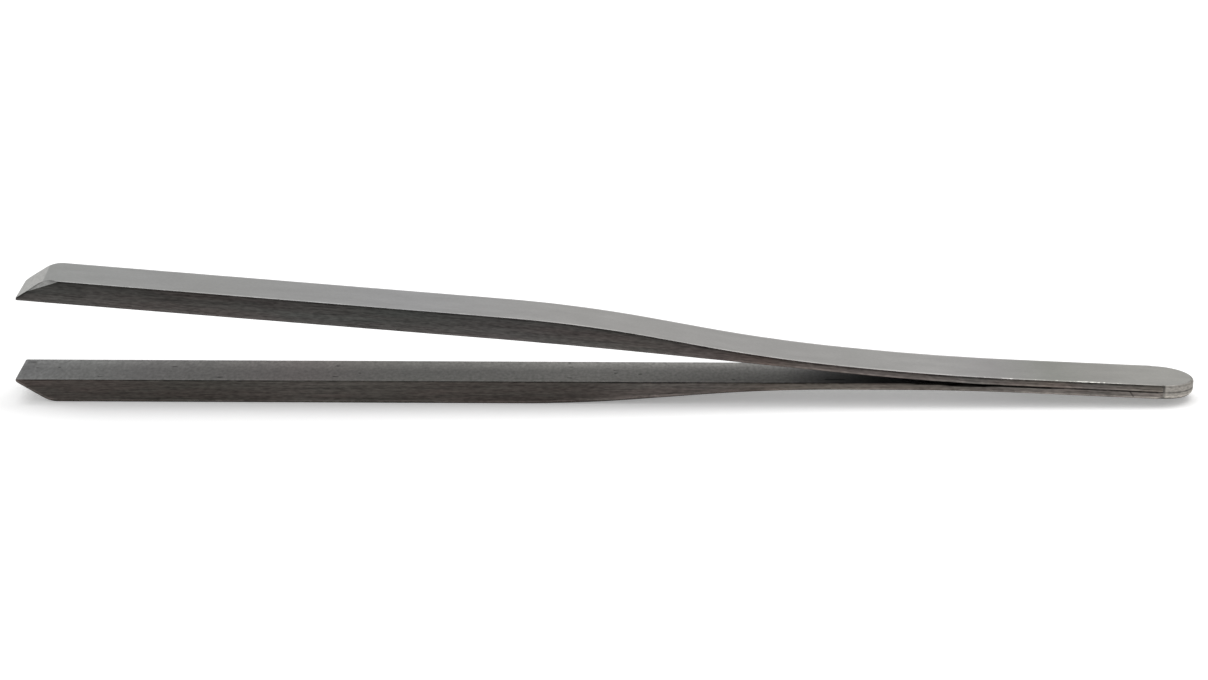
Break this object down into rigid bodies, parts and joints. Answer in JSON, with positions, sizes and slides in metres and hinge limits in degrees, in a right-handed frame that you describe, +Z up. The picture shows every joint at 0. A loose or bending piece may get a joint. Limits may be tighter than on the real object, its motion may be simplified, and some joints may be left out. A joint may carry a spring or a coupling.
{
  "type": "precision tweezers",
  "caption": "Straight steel precision tweezers: two stiff flat bars that thin to spring leaves, welded at a rounded heel, with bevelled chisel tips.",
  "frame": {"origin": "centre of the bounding box at its bottom, under the tweezers as they lie on the lower bar's outer face", "axes": "+X from the tips to the welded heel, +Y across the arms' width, +Z up, the way the upper arm opens"},
  "size_m": [0.1502, 0.009, 0.0159],
  "materials": {
    "arm_steel": "satin ground spring steel, outer faces smooth, sides brushed lengthwise",
    "weld_steel": "fused steel, ground flush"
  },
  "bodies": {
    "heel": {"upper_heel": "arm_steel", "lower_heel": "arm_steel", "nose_weld": "weld_steel", "spot_welds": "weld_steel"},
    "upper_arm": {"upper_arm": "arm_steel"},
    "lower_arm": {"lower_arm": "arm_steel"}
  },
  "joints": [
    {"name": "upper_flex", "type": "hinge", "parent": "heel", "child": "upper_arm", "pos_m": [0.04163, 0, 0.00322], "axis": [0, -1, 0], "range_deg": [0, 2.64], "stiffness_Nm_per_rad": 3.6},
    {"name": "lower_flex", "type": "hinge", "parent": "heel", "child": "lower_arm", "pos_m": [0.04509, 0, 0.00282], "axis": [0, 1, 0], "range_deg": [0, 2.38], "stiffness_Nm_per_rad": 3.6}
  ]
}
